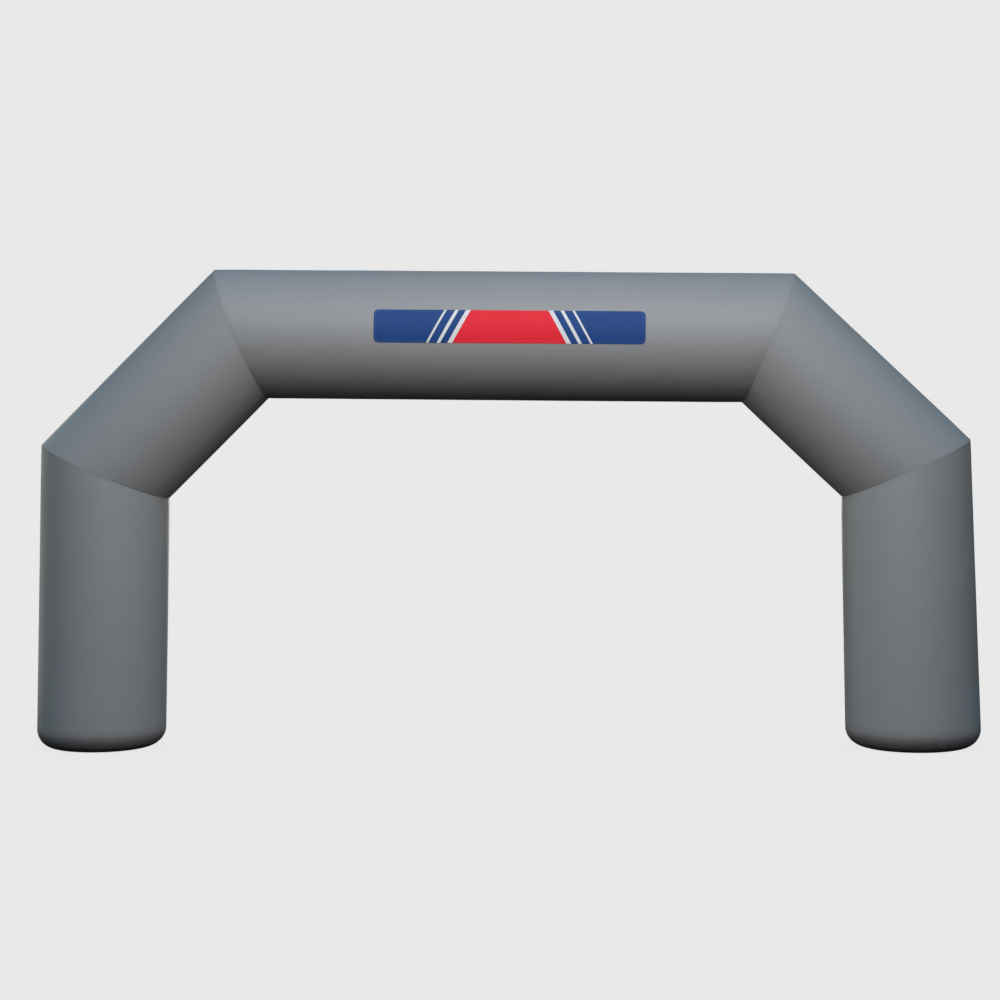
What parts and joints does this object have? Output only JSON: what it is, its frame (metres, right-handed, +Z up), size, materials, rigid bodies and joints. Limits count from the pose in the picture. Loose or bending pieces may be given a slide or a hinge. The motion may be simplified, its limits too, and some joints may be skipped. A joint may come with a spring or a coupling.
{
  "type": "inflatable arch",
  "caption": "Air-filled fabric archway: straight tubes mitred into a beam, slanted shoulders and upright legs with rounded feet, and a printed panel on the front of the beam.",
  "frame": {"origin": "on the ground, midway between the feet", "axes": "+X along the width of the arch, to the right as seen from its front; +Y through the passage, away from the front; +Z up"},
  "size_m": [6.0928, 0.8582, 3.0831],
  "materials": {
    "tube_fabric": "matt coated woven polyester, mid grey",
    "floor_fabric": "heavier matt coated fabric, grey, dusty from the ground",
    "panel_print": "printed banner cloth, blue ends, red middle and white slanted bars"
  },
  "bodies": {
    "root": {"beam": "tube_fabric", "shoulder_left": "tube_fabric", "shoulder_right": "tube_fabric", "leg_left": "tube_fabric", "leg_right": "tube_fabric", "base_left": "floor_fabric", "base_right": "floor_fabric", "front_panel": "panel_print"}
  },
  "joints": []
}
